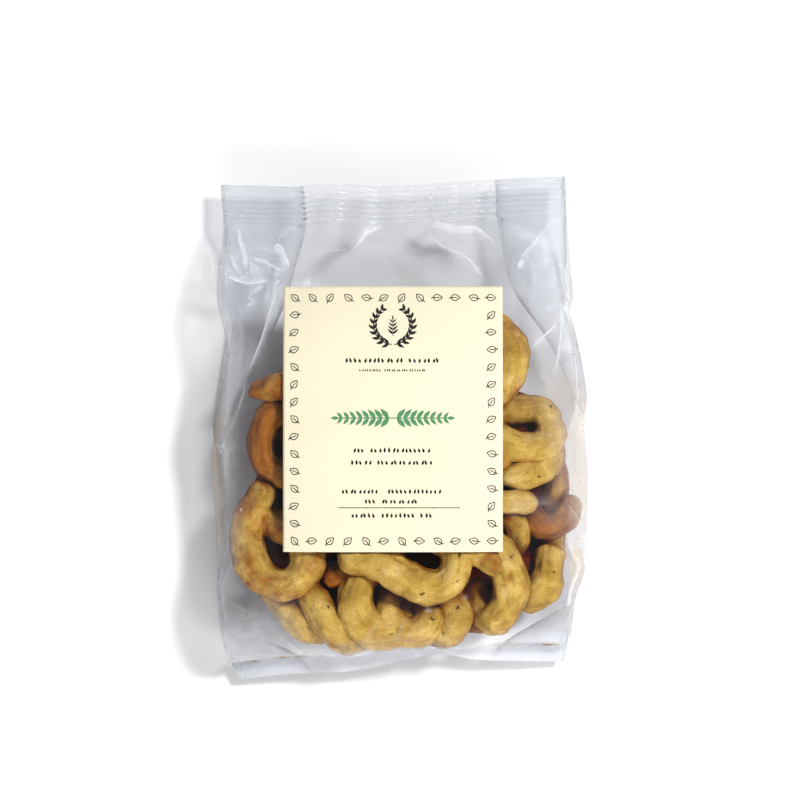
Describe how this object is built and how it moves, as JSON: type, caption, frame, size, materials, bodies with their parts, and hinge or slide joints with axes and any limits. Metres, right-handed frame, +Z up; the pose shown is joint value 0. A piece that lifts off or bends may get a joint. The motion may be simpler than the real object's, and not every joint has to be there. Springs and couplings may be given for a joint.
{
  "type": "bag of taralli biscuits",
  "caption": "sealed clear film bag with pleated sides, a crimped top seal and a paper label, full of ring-shaped savoury biscuits, lying on its back",
  "frame": {"origin": "on the floor, under the middle of the bag's bounding box", "axes": "+Z up, out of the labelled front; +Y along the bag to its crimped top seal; +X to the right of the label"},
  "size_m": [0.159, 0.2126, 0.0459],
  "materials": {
    "film": "clear glossy film",
    "label": "smooth coated paper",
    "print": "printed ink on paper",
    "biscuit": "baked oiled dough"
  },
  "bodies": {
    "root": {"bag": "film", "label": "label"}
  },
  "joints": []
}
